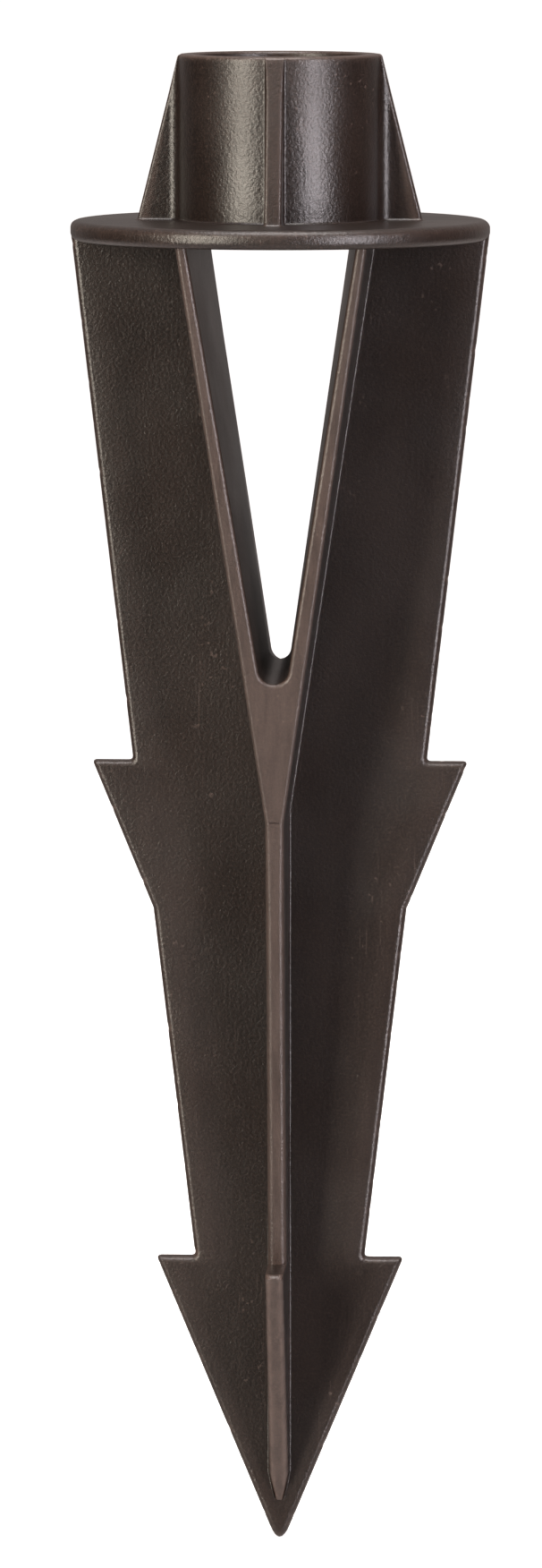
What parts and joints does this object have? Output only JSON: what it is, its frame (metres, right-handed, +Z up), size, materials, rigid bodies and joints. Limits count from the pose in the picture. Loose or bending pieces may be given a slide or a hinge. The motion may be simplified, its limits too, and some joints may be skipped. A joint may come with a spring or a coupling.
{
  "type": "torch pole ground stake",
  "caption": "One-piece moulded plastic ground stake with a round pole socket, a soil flange, a forked upper shank, barbed fins and a blunt point.",
  "frame": {"origin": "centre of the pole socket's floor, level with the flange's top face", "axes": "+Z up the pole, out of the socket; +X to the right across the wide blade; -Y towards the front keel"},
  "size_m": [0.0708, 0.0708, 0.254],
  "materials": {
    "brown_plastic": "satin moulded, dark warm brown, fine grain"
  },
  "bodies": {
    "root": {"pole_socket": "brown_plastic", "socket_gusset_front": "brown_plastic", "socket_gusset_rear": "brown_plastic", "socket_gusset_left": "brown_plastic", "socket_gusset_right": "brown_plastic", "soil_flange": "brown_plastic", "fork_wall_left": "brown_plastic", "fork_wall_right": "brown_plastic", "fork_web": "brown_plastic", "front_keel": "brown_plastic", "rear_keel": "brown_plastic", "front_barb": "brown_plastic", "rear_barb": "brown_plastic", "upper_fin_left": "brown_plastic", "upper_fin_right": "brown_plastic", "upper_barb_left": "brown_plastic", "upper_barb_right": "brown_plastic", "middle_fin_left": "brown_plastic", "middle_fin_right": "brown_plastic", "lower_barb_left": "brown_plastic", "lower_barb_right": "brown_plastic", "stake_tip": "brown_plastic"}
  },
  "joints": []
}
